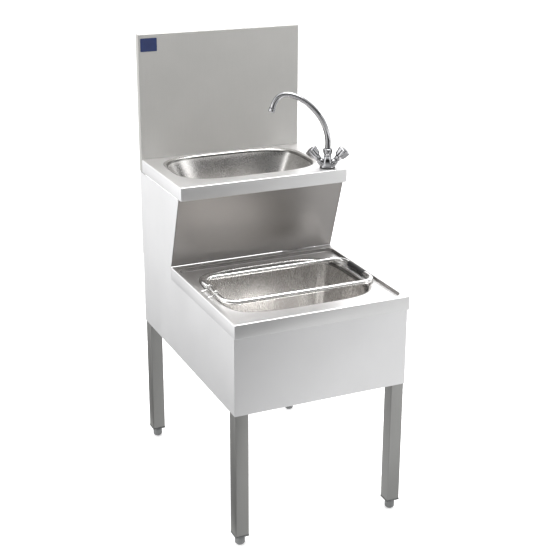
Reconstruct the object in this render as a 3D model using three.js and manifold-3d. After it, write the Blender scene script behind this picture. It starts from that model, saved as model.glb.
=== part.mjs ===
// A free-standing stainless-steel cleaner's sink: a hand basin with a tap on top, a low bucket sink with a
// hinged tubular grille in front, a splashback, a skirt casing and four square legs on adjustable feet.
// Millimetres. +X is to the right, -Y is the front and +Z is up.
// The origin is on the floor under the middle.

import * as THREE from 'three';
import * as BufferGeometryUtils from 'three/addons/utils/BufferGeometryUtils.js';
import Module from 'manifold-3d';

const wasm = await Module();
wasm.setup();

// ---------------------------------------------------------------- driving dimensions
const WIDTH = 500;
const DEPTH = 720;
const SPLASH_TOP = 1256;
const BASIN_TOP = 895;            // working surface of the hand basin
const SINK_TOP = 640;             // rim of the bucket sink
const SKIRT_BOTTOM = 386;
const HANDLE_OVERHANG = 11.5;     // how far the right tap handle reaches past the worktop
const SHEET = 1.2;                // steel sheet thickness
const GAP = 0.3;                  // clearance left where two pieces touch
const APRON = 38;                 // folded front edge of both worktops
const LIP = 12;                   // inward return at the foot of an apron
const SPLASH_DEPTH = 20;
const BASIN_FRONT = 10;           // y of the basin worktop's front edge
const PANEL_TOP_Y = 32;           // y of the sloping panel where it meets the basin worktop
const PANEL_FOOT_Y = 106;         // y of the sloping panel where it meets the sink worktop
const SEGMENTS = 48;              // steps round a bowl

const LEFT = -WIDTH / 2;
const RIGHT = WIDTH / 2;
const FRONT = -DEPTH / 2;
const REAR = DEPTH / 2;
const SPLASH_FACE = REAR - SPLASH_DEPTH;

// Bowls: the plan is a superellipse, and the rim blends into the worktop with a rolled edge
const BASIN = {
  x: -1, y: 196, halfX: 218, halfY: 136, power: 3.5,
  rimRadius: 9, depth: 150, draft: 26, floorRadius: 42, wasteRadius: 23,
};
const SINK = {
  x: 0, y: -113, halfX: 218.5, halfY: 175.5, power: 4.2,
  rimRadius: 12, depth: 186, draft: 10, floorRadius: 38, wasteRadius: 23,
};
const RECESS_DEPTH = 10.4;         // the sink worktop is pressed down inside its raised border
const RECESS_DRAFT = 1.5;
const BORDER_SIDE = 12;
const BORDER_FRONT = 17;
const BORDER_REAR = 24;
const RECESS_CORNER = 24;

// Tap
const TAP_X = 206;
const TAP_Y = 47;
const TAP_AZIMUTH = 151;          // heading of the left handle, degrees from +X
const SPOUT_AZIMUTH = 150;        // heading of the spout at rest
const VALVE_TILT = 49;            // degrees the valves rise from level
const VALVE_ROOT = 4;             // where a valve's axis leaves the worktop, out from the tap's axis
const SPOUT_RADIUS = 8;
const NUT_BASE = 44;
const NUT_TOP = 56;
const SHANK_RADIUS = 10;
const SHANK_LENGTH = 30;

// Grille
const TUBE_RADIUS = 7;
const ROD_RADIUS = 3.5;
const GRILLE_Z = 638.2;
const HINGE_X = -209;
const REST_X = 226.8;
const REAR_BAR_Y = -14;
const FRONT_BAR_Y = -214;
const BEND = 38;
const HINGE_LEG_REAR = -76;       // where the tubes stop on the hinge side
const HINGE_LEG_FRONT = -143;
const REST_LEG_REAR = -60;        // and on the resting side
const REST_LEG_FRONT = -150;
const EYE_YS = [-85, -134];
const EYE_FOOT = SINK_TOP - RECESS_DEPTH + GAP - GRILLE_Z;
const SLEEVE_RADIUS = 8.2;

// Casing, legs and feet
const SKIRT_SIDE_INSET = 2;
const SKIRT_FRONT_INSET = 7;
const SKIRT_SEAM = 1.5;
const LEG = 38;
const LEG_WALL = 1.5;
const LEG_X = 227.5;
const LEG_FRONT_Y = -332.5;
const LEG_REAR_Y = 339.5;
const LEG_TOP = 600;
const FOOT_HEIGHT = 28.4;
const INSERT_BASE = 28.8;
const INSERT_FLANGE = 4;
const STUD_RADIUS = 4.9;

// ---------------------------------------------------------------- materials
const steel = () => new THREE.MeshStandardMaterial({ color: 0xc9c9c9, roughness: 0.35, metalness: 1 });
const bright = () => new THREE.MeshStandardMaterial({ color: 0xdedede, roughness: 0.12, metalness: 1 });
const chrome = () => new THREE.MeshStandardMaterial({ color: 0xe8e8ea, roughness: 0.05, metalness: 1 });
const tubeSteel = () => new THREE.MeshStandardMaterial({ color: 0x9a9a98, roughness: 0.45, metalness: 1 });
const greyPlastic = () => new THREE.MeshStandardMaterial({ color: 0x9b9d9c, roughness: 0.6, metalness: 0 });
const rubber = () => new THREE.MeshStandardMaterial({ color: 0x1c1c1c, roughness: 0.7, metalness: 0 });
const brass = () => new THREE.MeshStandardMaterial({ color: 0xb99a55, roughness: 0.4, metalness: 1 });
const navy = () => new THREE.MeshStandardMaterial({ color: 0x1d2f66, roughness: 0.4, metalness: 0 });

// ---------------------------------------------------------------- helpers
const radians = THREE.MathUtils.degToRad;

// A closed three.js geometry as a solid that can be cut and joined
function solid(geometry) {
  const bare = geometry.clone();
  bare.deleteAttribute('normal');
  bare.deleteAttribute('uv');
  const merged = BufferGeometryUtils.mergeVertices(bare, 1e-4);
  return new wasm.Manifold(new wasm.Mesh({
    numProp: 3,
    vertProperties: new Float32Array(merged.attributes.position.array),
    triVerts: new Uint32Array(merged.index.array),
  }));
}

function geometryOf(manifold) {
  const mesh = manifold.getMesh();
  const geometry = new THREE.BufferGeometry();
  geometry.setAttribute('position', new THREE.Float32BufferAttribute(mesh.vertProperties, 3));
  geometry.setIndex(Array.from(mesh.triVerts));
  geometry.computeVertexNormals();
  return geometry;
}

const join = (first, ...rest) => geometryOf(rest.reduce((sum, g) => sum.add(solid(g)), solid(first)));
const cut = (first, ...rest) => geometryOf(rest.reduce((left, g) => left.subtract(solid(g)), solid(first)));

function box(x0, x1, y0, y1, z0, z1) {
  const geometry = new THREE.BoxGeometry(x1 - x0, y1 - y0, z1 - z0);
  return geometry.translate((x0 + x1) / 2, (y0 + y1) / 2, (z0 + z1) / 2);
}

// A profile of [radius, height] points turned about +Z
function turned(profile, steps) {
  const points = profile.map(([r, z]) => new THREE.Vector2(r, z));
  return new THREE.LatheGeometry(points, steps).rotateX(Math.PI / 2);
}

const rod = (radius, z0, z1, steps = 20) => turned([[0, z0], [radius, z0], [radius, z1], [0, z1]], steps);

const ring = (inner, outer, z0, z1, steps = 24) => turned(
  [[inner, z0], [outer, z0], [outer, z1], [inner, z1], [inner, z0]], steps);

// An outline of [x, y] points extruded from z0 to z1
function prism(outline, z0, z1) {
  const shape = new THREE.Shape(outline.map(([x, y]) => new THREE.Vector2(x, y)));
  return new THREE.ExtrudeGeometry(shape, { depth: z1 - z0, bevelEnabled: false }).translate(0, 0, z0);
}

// A sheet folded along a polyline: the outline follows the points and comes back one
// thickness to their left
function foldedOutline(points, thickness) {
  const inner = points.map((point, i) => {
    const before = points[Math.max(i - 1, 0)];
    const after = points[Math.min(i + 1, points.length - 1)];
    const into = new THREE.Vector2(point[0] - before[0], point[1] - before[1]).normalize();
    const out = new THREE.Vector2(after[0] - point[0], after[1] - point[1]).normalize();
    const a = i === 0 ? out : into;
    const b = i === points.length - 1 ? into : out;
    const normalA = new THREE.Vector2(-a.y, a.x);
    const normalB = new THREE.Vector2(-b.y, b.x);
    const mitre = normalA.clone().add(normalB).normalize();
    const reach = thickness / mitre.dot(normalA);
    return [point[0] + mitre.x * reach, point[1] + mitre.y * reach];
  });
  return [...points, ...inner.reverse()];
}

// Outline in (y, z) extruded along +X
function prismAlongX(outline, x0, x1) {
  return prism(outline, x0, x1).rotateX(Math.PI / 2).rotateZ(Math.PI / 2);
}

// A round bar along a curve
function tube(curve, radius, steps, sides) {
  const section = new THREE.Shape();
  section.absarc(0, 0, radius, 0, Math.PI * 2, false);
  return new THREE.ExtrudeGeometry(section, {
    steps, extrudePath: curve, bevelEnabled: false, curveSegments: sides,
  });
}

const named = (name, geometry, material, x = 0, y = 0, z = 0) => {
  const mesh = new THREE.Mesh(geometry, material);
  mesh.name = name;
  mesh.position.set(x, y, z);
  return mesh;
};

// ---------------------------------------------------------------- bowls
// A point of a superellipse at turn t
function superellipse(halfX, halfY, power, t) {
  const c = Math.cos(t);
  const s = Math.sin(t);
  return [
    halfX * Math.sign(c) * Math.abs(c) ** (2 / power),
    halfY * Math.sign(s) * Math.abs(s) ** (2 / power),
  ];
}

function superellipseOutline(halfX, halfY, power) {
  return Array.from({ length: SEGMENTS }, (_, i) => (
    superellipse(halfX, halfY, power, (i / SEGMENTS) * Math.PI * 2)
  ));
}

function bowlShell(bowl) {
  const { halfX, halfY, rimRadius, depth, draft, floorRadius, wasteRadius } = bowl;
  // Upper (wet) side in (inset, height), then the same line one sheet thickness lower
  const wet = (t) => {
    const points = [];
    const rimSteps = 4;
    const rimCentre = [0, -rimRadius];
    for (let i = 0; i <= rimSteps; i += 1) {
      const a = (i / rimSteps) * (Math.PI / 2);
      const r = rimRadius - t;
      points.push([rimCentre[0] + r * Math.sin(a), rimCentre[1] + r * Math.cos(a)]);
    }
    const floorSteps = 6;
    const r = floorRadius + t;
    const floorCentre = [rimRadius + draft + floorRadius, -depth + floorRadius];
    for (let i = 0; i <= floorSteps; i += 1) {
      const a = (i / floorSteps) * (Math.PI / 2);
      points.push([floorCentre[0] - r * Math.cos(a), floorCentre[1] - r * Math.sin(a)]);
    }
    points.push([halfY - wasteRadius, -depth - 6 - t]);
    return points;
  };
  const loop = [...wet(0), ...wet(SHEET).reverse()];
  loop.push(loop[0]);
  const geometry = turned(loop.map(([inset, z]) => [halfY - inset, z]), SEGMENTS);
  // The turned shape is round: move every point out to the superellipse, and keep the waste hole round
  const position = geometry.attributes.position;
  for (let i = 0; i < position.count; i += 1) {
    const x = position.getX(i);
    const y = position.getY(i);
    const r = Math.hypot(x, y);
    const share = (r - wasteRadius) / (halfY - wasteRadius);
    const power = 2 + (bowl.power - 2) * Math.min(1, share * 1.6);
    const [px, py] = superellipse(r + (halfX - halfY) * share, r, power, Math.atan2(y, x));
    position.setXY(i, px, py);
  }
  return geometry;
}

const opening = (bowl, z0, z1) => prism(
  superellipseOutline(bowl.halfX + GAP, bowl.halfY + GAP, bowl.power), z0, z1,
).translate(bowl.x, bowl.y, 0);

// ---------------------------------------------------------------- worktops and panels
function basinWorktop() {
  const back = SPLASH_FACE - GAP;
  const top = BASIN_TOP;
  const foot = BASIN_TOP - APRON;
  return cut(
    box(LEFT, RIGHT, BASIN_FRONT, back, foot, top),
    box(LEFT + SHEET, RIGHT - SHEET, BASIN_FRONT + SHEET, back + 1, foot + SHEET, top - SHEET),
    box(LEFT + LIP, RIGHT - LIP, BASIN_FRONT + LIP, back + 1, foot - 1, foot + SHEET + 1),
    opening(BASIN, foot, top + 1),
    rod(SHANK_RADIUS + 1, foot, top + 1).translate(TAP_X, TAP_Y, 0),
  );
}

function recessOutline(inset) {
  const x0 = LEFT + BORDER_SIDE + inset;
  const x1 = RIGHT - BORDER_SIDE - inset;
  const y0 = FRONT + BORDER_FRONT + inset;
  const y1 = PANEL_FOOT_Y - BORDER_REAR - inset;
  const r = RECESS_CORNER - inset;
  const corners = [[x1 - r, y1 - r, 0], [x0 + r, y1 - r, 90], [x0 + r, y0 + r, 180], [x1 - r, y0 + r, 270]];
  return corners.flatMap(([x, y, start]) => [0, 22.5, 45, 67.5, 90].map((step) => {
    const a = radians(start + step);
    return [x + r * Math.cos(a), y + r * Math.sin(a)];
  }));
}

// A pan from z0 up to z1 which is drafted inwards towards its floor
function recessPan(z0, z1, inset) {
  const outline = recessOutline(inset);
  const floor = recessOutline(inset + RECESS_DRAFT);
  const geometry = prism(outline, z0, z1);
  const position = geometry.attributes.position;
  for (let i = 0; i < position.count; i += 1) {
    if (position.getZ(i) < (z0 + z1) / 2) {
      const near = outline.findIndex(([x, y]) => (
        Math.hypot(x - position.getX(i), y - position.getY(i)) < 1e-3
      ));
      position.setXY(i, ...floor[near]);
    }
  }
  return geometry;
}

function sinkWorktop() {
  const back = PANEL_FOOT_Y - GAP;
  const floor = SINK_TOP - RECESS_DEPTH;
  const foot = SINK_TOP - APRON;
  const lip = box(LEFT + 3, RIGHT - 3, FRONT + SHEET / 2, FRONT + 5.5, foot, foot + SHEET);
  const deck = solid(box(LEFT, RIGHT, FRONT, back, SINK_TOP - SHEET, SINK_TOP))
    .add(solid(recessPan(floor - SHEET, SINK_TOP - SHEET / 2, 0)))
    .add(solid(box(LEFT, RIGHT, FRONT, FRONT + SHEET, foot, SINK_TOP)))
    .add(solid(lip))
    .subtract(solid(recessPan(floor, SINK_TOP + SHEET, SHEET)))
    .subtract(solid(opening(SINK, floor - 5, SINK_TOP + 1)));
  return geometryOf(deck);
}

// One sheet makes the side of the basin housing and runs on along the sink as its side apron
function sidePanel() {
  const foot = SINK_TOP - APRON;
  const deck = SINK_TOP - SHEET - GAP;
  const top = BASIN_TOP - APRON - GAP;
  const outline = [
    [REAR, foot], [REAR, top], [PANEL_TOP_Y, top],
    [PANEL_FOOT_Y, SINK_TOP], [PANEL_FOOT_Y, deck],
    [FRONT + SHEET + GAP, deck], [FRONT + SHEET + GAP, foot],
  ];
  return prismAlongX(outline.reverse(), 0, SHEET);
}

function sidePanelWithReturn(side) {
  const outer = RIGHT - 0.4;
  const foot = SINK_TOP - APRON;
  const top = BASIN_TOP - APRON - GAP;
  const sheet = sidePanel().translate(outer - SHEET, 0, 0);
  const flange = box(outer - 16, outer - SHEET / 2, REAR - SHEET, REAR, foot, top);
  const geometry = join(sheet, flange);
  return side < 0 ? mirrorX(geometry) : geometry;
}

function mirrorX(geometry) {
  const flipped = geometry.clone().scale(-1, 1, 1);
  const index = flipped.index.array;
  for (let i = 0; i < index.length; i += 3) {
    [index[i], index[i + 1]] = [index[i + 1], index[i]];
  }
  return flipped;
}

function slopingPanel() {
  const top = BASIN_TOP - APRON - GAP;
  const foot = SINK_TOP + GAP;
  const slope = (PANEL_FOOT_Y - PANEL_TOP_Y) / (BASIN_TOP - APRON - SINK_TOP);
  const footY = PANEL_FOOT_Y - slope * GAP;
  const outline = foldedOutline([
    [footY + 14, foot], [footY, foot], [PANEL_TOP_Y + slope * GAP, top], [PANEL_TOP_Y + 8, top],
  ], -SHEET);
  const inside = RIGHT - 0.4 - SHEET - GAP;
  return prismAlongX(outline, -inside, inside);
}

function splashback() {
  const foot = BASIN_TOP - APRON + GAP;
  return cut(
    box(LEFT, RIGHT, SPLASH_FACE, REAR, foot, SPLASH_TOP),
    box(LEFT + SHEET, RIGHT - SHEET, SPLASH_FACE + SHEET, REAR + 1, foot - 1, SPLASH_TOP - SHEET),
  );
}

// ---------------------------------------------------------------- waste fittings
function wasteFitting(prefix, floorZ) {
  const group = new THREE.Group();
  const dish = turned([[0, -1], [17, -1], [30, 3], [32, 3.4], [32, 4.6], [30, 5], [17, 1], [0, 1]], 28);
  const holes = Array.from({ length: 8 }, (_, i) => {
    const a = (i / 8) * Math.PI * 2;
    return rod(2.9, -3, 3, 10).translate(11 * Math.cos(a), 11 * Math.sin(a), 0);
  });
  const strainer = cut(dish, rod(2.9, -3, 3, 10), ...holes);
  group.add(named(`${prefix}_waste_strainer`, strainer, bright(), 0, 0, floorZ + 1));
  group.add(named(`${prefix}_waste_tail`, ring(17, 21, -58, -GAP, 28), bright(), 0, 0, floorZ));
  group.add(named(`${prefix}_waste_seal`, ring(21 + GAP, 31, -4.6, -1.6, 28), rubber(), 0, 0, floorZ));
  const nut = cut(prism(hexagon(32), -16, -4.9), rod(21 + GAP, -20, 0, 28));
  group.add(named(`${prefix}_waste_nut`, nut, brass(), 0, 0, floorZ));
  return group;
}

const hexagon = (radius) => Array.from({ length: 6 }, (_, i) => [
  radius * Math.cos((i * Math.PI) / 3), radius * Math.sin((i * Math.PI) / 3),
]);

// ---------------------------------------------------------------- tap
// The valves sit on a tilted axis; s runs outwards along it from the valve root
function alongValve(geometry, side) {
  const tilt = radians(90 - VALVE_TILT);
  return geometry.rotateY(side * tilt).translate(side * VALVE_ROOT, 0, 0);
}

function tapBody() {
  const column = turned([
    [0, 2.6], [21, 2.6], [21, 6], [18.5, 10], [13.5, 18], [10.5, 28], [9.6, 36], [12.6, 41],
    [12.6, NUT_BASE - GAP], [0, NUT_BASE - GAP],
  ], 28);
  const arm = () => rod(10.5, 6, 24, 20);
  const shank = rod(SHANK_RADIUS, -SHANK_LENGTH, 4, 24);
  const castings = solid(column)
    .add(solid(alongValve(arm(), 1)))
    .add(solid(alongValve(arm(), -1)))
    .subtract(solid(box(-40, 40, -40, 40, -20, 2.6)));
  return geometryOf(castings.add(solid(shank)));
}

const valveBonnet = (side) => alongValve(turned([
  [0, 24.3], [10.2, 24.3], [10.2, 27], [8.6, 28.5], [8.6, 33.6], [0, 33.6],
], 20), side);

// Lobed head on a round hub, flaring outwards
function valveHandle(side) {
  const lobes = 4;
  const geometry = turned([
    [0, 34], [9, 34], [9.6, 40], [12, 43.5], [13.4, 46], [15.4, 60], [16.6, 66.5], [15.6, 68.6], [0, 68.6],
  ], 40);
  const position = geometry.attributes.position;
  for (let i = 0; i < position.count; i += 1) {
    const x = position.getX(i);
    const y = position.getY(i);
    const head = THREE.MathUtils.smoothstep(position.getZ(i), 40, 46);
    const swell = 1 + 0.13 * head * Math.cos(lobes * Math.atan2(y, x));
    position.setXY(i, x * swell, y * swell);
  }
  return alongValve(geometry, side);
}

const indexCap = (side) => alongValve(turned([
  [0, 68.9], [10.5, 68.9], [10.5, 70], [9, 71.2], [0, 71.8],
], 24), side);

function spoutCurve() {
  const points = [
    [0, NUT_TOP + GAP], [0, 80], [5, 107], [20, 140], [50, 176], [87, 200], [117, 207], [139, 200],
    [152, 183], [157, 168],
  ];
  return new THREE.CatmullRomCurve3(points.map(([r, z]) => new THREE.Vector3(r, 0, z)));
}

const spoutNut = () => turned([
  [0, NUT_BASE], [12.4, NUT_BASE], [13.4, NUT_BASE + 2], [13.4, NUT_TOP - 2.5],
  [10.6, NUT_TOP], [0, NUT_TOP],
], 24);

function aerator() {
  const curve = spoutCurve();
  const tip = curve.getPoint(1);
  const heading = curve.getTangent(1);
  const shell = turned([
    [0, GAP], [9.2, GAP], [9.6, 2], [9.6, 11], [9, 12.5], [7, 12.5], [7, 10.5], [0, 10.5],
  ], 24);
  const turn = new THREE.Quaternion().setFromUnitVectors(new THREE.Vector3(0, 0, 1), heading);
  return shell.applyQuaternion(turn).translate(tip.x, tip.y, tip.z);
}

function tap() {
  const group = new THREE.Group();
  group.position.set(TAP_X, TAP_Y, BASIN_TOP);
  group.add(named('tap_base_seal', ring(SHANK_RADIUS + 0.6, 22, GAP, 2.3, 28), rubber()));

  // The left handle is on -X of this group
  const valves = new THREE.Group();
  valves.rotation.z = radians(TAP_AZIMUTH - 180);
  valves.add(named('tap_body', tapBody(), chrome()));
  for (const [name, side] of [['left', -1], ['right', 1]]) {
    valves.add(named(`tap_${name}_bonnet`, valveBonnet(side), chrome()));
    valves.add(named(`tap_${name}_handle`, valveHandle(side), chrome()));
    valves.add(named(`tap_${name}_index_cap`, indexCap(side), chrome()));
  }
  group.add(valves);

  const swivel = new THREE.Group();
  swivel.rotation.z = radians(SPOUT_AZIMUTH);
  swivel.add(named('tap_spout', tube(spoutCurve(), SPOUT_RADIUS, 30, 8), chrome()));
  swivel.add(named('tap_aerator', aerator(), chrome()));
  group.add(swivel);
  group.add(named('tap_spout_nut', spoutNut(), chrome()));

  const under = -SHEET - GAP;
  group.add(named('tap_clamp_washer', ring(SHANK_RADIUS + 0.5, 24, under - 2.5, under, 28), tubeSteel()));
  const nut = cut(prism(hexagon(21), under - 11, under - 2.8), rod(SHANK_RADIUS + 0.4, -20, 0, 24));
  group.add(named('tap_back_nut', nut, brass()));
  for (const [name, side] of [['left', -1], ['right', 1]]) {
    const stub = rod(4, -55, -SHANK_LENGTH - GAP, 14);
    group.add(named(`tap_${name}_inlet_stub`, stub, brass(), side * 5, 0, 0));
  }
  return group;
}

// ---------------------------------------------------------------- grille
// Two tube bows face each other: each is a bar with a bend and a short leg at both ends
function bowPoints(barY, legEndLeft, legEndRight) {
  const inward = Math.sign(legEndLeft - barY);
  const z = GRILLE_Z;
  const bendY = barY + inward * BEND;
  const corner = (x, towards) => {
    const centre = new THREE.Vector2(x + towards * BEND, bendY);
    return [0, 1, 2, 3, 4, 5, 6].map((i) => {
      const a = (i / 6) * (Math.PI / 2);
      const x1 = centre.x - towards * BEND * Math.cos(a);
      return new THREE.Vector3(x1, centre.y - inward * BEND * Math.sin(a), z);
    });
  };
  return [
    new THREE.Vector3(HINGE_X, legEndLeft, z),
    ...corner(HINGE_X, 1),
    ...corner(REST_X, -1).reverse(),
    new THREE.Vector3(REST_X, legEndRight, z),
  ];
}

// Sweeping by station keeps a ring of vertices at every bend point
function bowTube(barY, legEndLeft, legEndRight) {
  const points = bowPoints(barY, legEndLeft, legEndRight);
  class Stations extends THREE.Curve {
    getPoint(t) {
      const last = points.length - 1;
      const at = Math.min(Math.floor(t * last + 1e-9), last - 1);
      return points[at].clone().lerp(points[at + 1], t * last - at);
    }

    getPointAt(t) {
      return this.getPoint(t);
    }

    getTangentAt(t) {
      const step = 0.5 / (points.length - 1);
      const ahead = this.getPoint(Math.min(t + step, 1));
      return ahead.sub(this.getPoint(Math.max(t - step, 0))).normalize();
    }
  }
  return tube(new Stations(), TUBE_RADIUS, points.length - 1, 8);
}

const rodAlongY = (radius, y0, y1, steps) => rod(radius, y0, y1, steps).rotateX(-Math.PI / 2);

function hingeEye() {
  const barrel = ring(4.6, 10, -2.5, 2.5, 24).rotateX(-Math.PI / 2);
  const strap = box(-25, -6, -4, 4, EYE_FOOT, EYE_FOOT + 2.5);
  return join(barrel, strap);
}

function grille() {
  const group = new THREE.Group();
  group.add(named('grille_rear_bow', bowTube(REAR_BAR_Y, HINGE_LEG_REAR, REST_LEG_REAR), bright()));
  group.add(named('grille_front_bow', bowTube(FRONT_BAR_Y, HINGE_LEG_FRONT, REST_LEG_FRONT), bright()));
  const hingeRod = rodAlongY(ROD_RADIUS, HINGE_LEG_FRONT + GAP, HINGE_LEG_REAR - GAP, 16);
  group.add(named('grille_hinge_rod', hingeRod, bright(), HINGE_X, 0, GRILLE_Z));
  const restRod = rodAlongY(ROD_RADIUS, REST_LEG_FRONT + GAP, REST_LEG_REAR - GAP, 16);
  group.add(named('grille_rest_rod', restRod, bright(), REST_X, 0, GRILLE_Z));
  const sleeve = ring(ROD_RADIUS + GAP, SLEEVE_RADIUS, REST_LEG_FRONT + 0.6, REST_LEG_REAR - 0.6, 20);
  group.add(named('grille_rest_sleeve', sleeve.rotateX(-Math.PI / 2), rubber(), REST_X, 0, GRILLE_Z));
  EYE_YS.forEach((y, i) => {
    group.add(named(`hinge_eye_${['rear', 'front'][i]}`, hingeEye(), bright(), HINGE_X, y, GRILLE_Z));
  });
  return group;
}

// ---------------------------------------------------------------- skirt casing
function skirtSide(side) {
  const x = RIGHT - SKIRT_SIDE_INSET;
  const y0 = FRONT + SKIRT_FRONT_INSET + SKIRT_SEAM;
  const outline = foldedOutline([[x - 16, REAR], [x, REAR], [x, y0]].reverse(), SHEET);
  const top = SINK_TOP - APRON - GAP;
  const wall = prism(outline, SKIRT_BOTTOM, top);
  const hem = box(x - 14, x - SHEET / 2, y0 + 45, REAR - 45, SKIRT_BOTTOM, SKIRT_BOTTOM + SHEET);
  const geometry = join(wall, hem);
  return side < 0 ? mirrorX(geometry) : geometry;
}

function skirtFront() {
  const x = RIGHT - SKIRT_SIDE_INSET;
  const y = FRONT + SKIRT_FRONT_INSET;
  const face = box(-x, x, y, y + SHEET, SKIRT_BOTTOM, SINK_TOP - APRON - GAP);
  const hem = box(-180, 180, y + SHEET / 2, y + 14, SKIRT_BOTTOM, SKIRT_BOTTOM + SHEET);
  return join(face, hem);
}

function rearRail() {
  const inside = LEG_X - LEG / 2 - GAP;
  const back = LEG_REAR_Y + LEG / 2;
  const outline = foldedOutline([
    [back - 18, SKIRT_BOTTOM], [back, SKIRT_BOTTOM],
    [back, SKIRT_BOTTOM + 40], [back - 18, SKIRT_BOTTOM + 40],
  ], SHEET);
  return prismAlongX(outline, -inside, inside);
}

// ---------------------------------------------------------------- legs and feet
function legTube() {
  const half = LEG / 2;
  const bore = half - LEG_WALL;
  const base = INSERT_BASE + INSERT_FLANGE + GAP;
  return cut(
    box(-half, half, -half, half, base, LEG_TOP),
    box(-bore, bore, -bore, bore, base - 1, LEG_TOP + 1),
  );
}

function footInsert() {
  const half = LEG / 2 + 1;
  const plug = LEG / 2 - LEG_WALL - GAP;
  const flangeTop = INSERT_BASE + INSERT_FLANGE;
  return geometryOf(
    solid(box(-half, half, -half, half, INSERT_BASE, flangeTop))
      .add(solid(box(-plug, plug, -plug, plug, flangeTop - 1, flangeTop + 24)))
      .subtract(solid(rod(STUD_RADIUS + GAP, INSERT_BASE - 1, flangeTop + 25, 16))),
  );
}

const adjustableFoot = () => turned([
  [0, 0], [8.8, 0], [13.6, 5], [13.6, 22], [12.4, 24.5], [10.5, 25.5], [10.5, FOOT_HEIGHT],
  [STUD_RADIUS, FOOT_HEIGHT], [STUD_RADIUS, FOOT_HEIGHT + 52], [0, FOOT_HEIGHT + 52],
], 24);

function legs() {
  const group = new THREE.Group();
  const places = [
    ['front_left', -LEG_X, LEG_FRONT_Y], ['front_right', LEG_X, LEG_FRONT_Y],
    ['rear_left', -LEG_X, LEG_REAR_Y], ['rear_right', LEG_X, LEG_REAR_Y],
  ];
  for (const [place, x, y] of places) {
    const corner = new THREE.Group();
    corner.position.set(x, y, 0);
    corner.add(named(`leg_${place}`, legTube(), tubeSteel()));
    corner.add(named(`foot_insert_${place}`, footInsert(), greyPlastic()));
    corner.add(named(`foot_${place}`, adjustableFoot(), greyPlastic()));
    group.add(corner);
  }
  return group;
}

// ---------------------------------------------------------------- the whole sink
const sink = new THREE.Group();
sink.add(named('splashback', splashback(), steel()));
sink.add(named('name_plate', box(-243, -194, -0.5, 0, 1207, 1245), navy(), 0, SPLASH_FACE - GAP, 0));
sink.add(named('basin_worktop', basinWorktop(), steel()));
sink.add(named('basin_bowl', bowlShell(BASIN), bright(), BASIN.x, BASIN.y, BASIN_TOP));
const basinDrain = wasteFitting('basin', BASIN_TOP - BASIN.depth - 6);
basinDrain.position.set(BASIN.x, BASIN.y, 0);
sink.add(basinDrain);
sink.add(tap());
sink.add(named('side_panel_left', sidePanelWithReturn(-1), steel()));
sink.add(named('side_panel_right', sidePanelWithReturn(1), steel()));
sink.add(named('sloping_panel', slopingPanel(), steel()));
sink.add(named('sink_worktop', sinkWorktop(), steel()));
sink.add(named('sink_bowl', bowlShell(SINK), bright(), SINK.x, SINK.y, SINK_TOP - RECESS_DEPTH));
const sinkDrain = wasteFitting('sink', SINK_TOP - RECESS_DEPTH - SINK.depth - 6);
sinkDrain.position.set(SINK.x, SINK.y, 0);
sink.add(sinkDrain);
sink.add(grille());
sink.add(named('skirt_left', skirtSide(-1), steel()));
sink.add(named('skirt_right', skirtSide(1), steel()));
sink.add(named('skirt_front', skirtFront(), steel()));
sink.add(named('rear_rail', rearRail(), steel()));
sink.add(legs());

// The origin is under the middle of everything, the overhanging tap handle included
sink.position.x = -HANDLE_OVERHANG / 2;

export default sink;
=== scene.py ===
import math

import bmesh
import bpy
from mathutils import Matrix, Vector


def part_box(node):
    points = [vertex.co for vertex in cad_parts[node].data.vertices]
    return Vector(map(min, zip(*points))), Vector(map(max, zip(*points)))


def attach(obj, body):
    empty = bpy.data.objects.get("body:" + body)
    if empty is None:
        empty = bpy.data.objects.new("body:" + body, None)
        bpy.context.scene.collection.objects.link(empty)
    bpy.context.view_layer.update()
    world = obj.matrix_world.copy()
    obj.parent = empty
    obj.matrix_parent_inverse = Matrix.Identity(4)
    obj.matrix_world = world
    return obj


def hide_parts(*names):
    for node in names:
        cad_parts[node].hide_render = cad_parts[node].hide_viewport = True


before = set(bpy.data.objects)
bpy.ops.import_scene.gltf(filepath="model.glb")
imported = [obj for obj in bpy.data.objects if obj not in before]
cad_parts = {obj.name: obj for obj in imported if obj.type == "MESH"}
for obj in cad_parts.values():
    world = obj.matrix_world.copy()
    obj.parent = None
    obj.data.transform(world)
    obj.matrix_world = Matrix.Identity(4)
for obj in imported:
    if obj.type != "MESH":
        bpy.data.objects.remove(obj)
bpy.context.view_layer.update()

MM = 0.001
deck_low, deck_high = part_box("basin_worktop")
CX = (deck_low.x + deck_high.x) / 2      # the case's centre plane

# Lengths below are millimetres in the case's own frame: x from its centre plane, z from the floor
SHEET = 1.2              # worktops and side sheets
PANEL_SHEET = 1.0        # splashback, sloping front and skirts
CASE, BACK = 250, 360    # half the case's width, and its rear face
BASIN_TOP, SINK_TOP, APRON = 895, 640, 38
LAND = 629.6             # the sunk land round the sink bowl
SKIRT_LOW, SKIRT_HEIGHT = 386, 214.6
TAP = Vector((206.0, 47.0, BASIN_TOP))
TAP_AZIMUTH = math.radians(151 - 180)
SPOUT_AZIMUTH = math.radians(150)
VALVE_TILT = math.radians(90 - 49)


# ---------------------------------------------------------------- materials
def nodes_of(name):
    mat = bpy.data.materials.new(name)
    mat.use_nodes = True
    return mat, mat.node_tree, mat.node_tree.nodes["Principled BSDF"]


def noise(tree, scale, detail, stretch=(1, 1, 1)):
    coord = tree.nodes.new("ShaderNodeTexCoord")
    mapping = tree.nodes.new("ShaderNodeMapping")
    mapping.inputs["Scale"].default_value = stretch
    tree.links.new(coord.outputs["Object"], mapping.inputs["Vector"])
    tex = tree.nodes.new("ShaderNodeTexNoise")
    tex.inputs["Scale"].default_value = scale
    tex.inputs["Detail"].default_value = detail
    tex.inputs["Roughness"].default_value = 0.55
    tree.links.new(mapping.outputs["Vector"], tex.inputs["Vector"])
    return tex.outputs["Fac"]


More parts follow.
